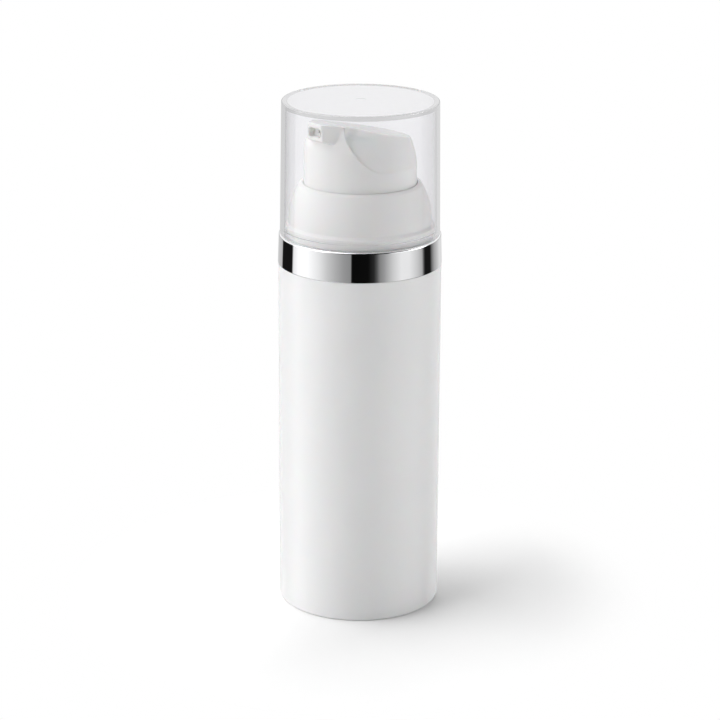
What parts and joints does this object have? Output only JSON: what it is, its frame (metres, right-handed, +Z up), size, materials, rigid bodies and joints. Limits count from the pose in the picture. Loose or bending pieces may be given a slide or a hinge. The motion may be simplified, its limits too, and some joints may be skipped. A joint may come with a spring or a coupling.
{
  "type": "airless pump bottle",
  "caption": "Airless pump bottle: straight double-walled body, bright trim ring, domed collar, press head with a sloping finger pad and short spout, and a clear pull-off overcap.",
  "frame": {"origin": "centre of the foot, on the surface the bottle stands on", "axes": "+Z up along the bottle's axis, -Y towards the spout, +X to the right of someone who faces the spout's side and looks along +Y"},
  "size_m": [0.0362, 0.0362, 0.1146],
  "materials": {
    "clear_plastic": "clear and polished",
    "white_head": "satin to gloss, white",
    "white_body": "high gloss, white",
    "metallised": "bright metallised",
    "natural_plastic": "natural, unpainted",
    "seal": "matt",
    "steel": "bright drawn"
  },
  "bodies": {
    "bottle": {"outer_shell": "white_body", "inner_bottle": "natural_plastic", "base_plate": "white_body", "trim_ring": "metallised", "collar_shroud": "white_head", "neck_closure": "natural_plastic", "neck_gasket": "seal", "pump_housing": "natural_plastic", "lock_ring": "natural_plastic", "stem_gasket": "seal", "ball_cage": "natural_plastic", "return_spring": "steel"},
    "cap": {"overcap": "clear_plastic"},
    "plunger": {"stem": "natural_plastic", "valve_rod": "natural_plastic", "spring_seat": "natural_plastic"},
    "head": {"actuator_head": "white_head"},
    "piston": {"pump_piston": "natural_plastic"},
    "ball": {"inlet_ball": "steel"},
    "follower": {"follower_piston": "natural_plastic"}
  },
  "joints": [
    {"name": "cap_pull", "type": "slide", "parent": "bottle", "child": "cap", "axis": [0, 0, 1], "range_m": [0, 0.035]},
    {"name": "head_press", "type": "slide", "parent": "bottle", "child": "plunger", "axis": [0, 0, -1], "range_m": [0, 0.004], "stiffness_N_per_m": 700, "springref_m": -0.006, "deforming": ["return_spring"]},
    {"name": "head_swivel", "type": "hinge", "parent": "plunger", "child": "head", "pos_m": [0, 0, 0.098], "axis": [0, 0, 1], "continuous": true},
    {"name": "piston_lag", "type": "slide", "parent": "plunger", "child": "piston", "axis": [0, 0, 1], "range_m": [0, 0.001]},
    {"name": "ball_lift", "type": "slide", "parent": "bottle", "child": "ball", "axis": [0, 0, 1], "range_m": [0, 0.0009]},
    {"name": "follower_rise", "type": "slide", "parent": "bottle", "child": "follower", "axis": [0, 0, 1], "range_m": [0, 0.0564]}
  ]
}
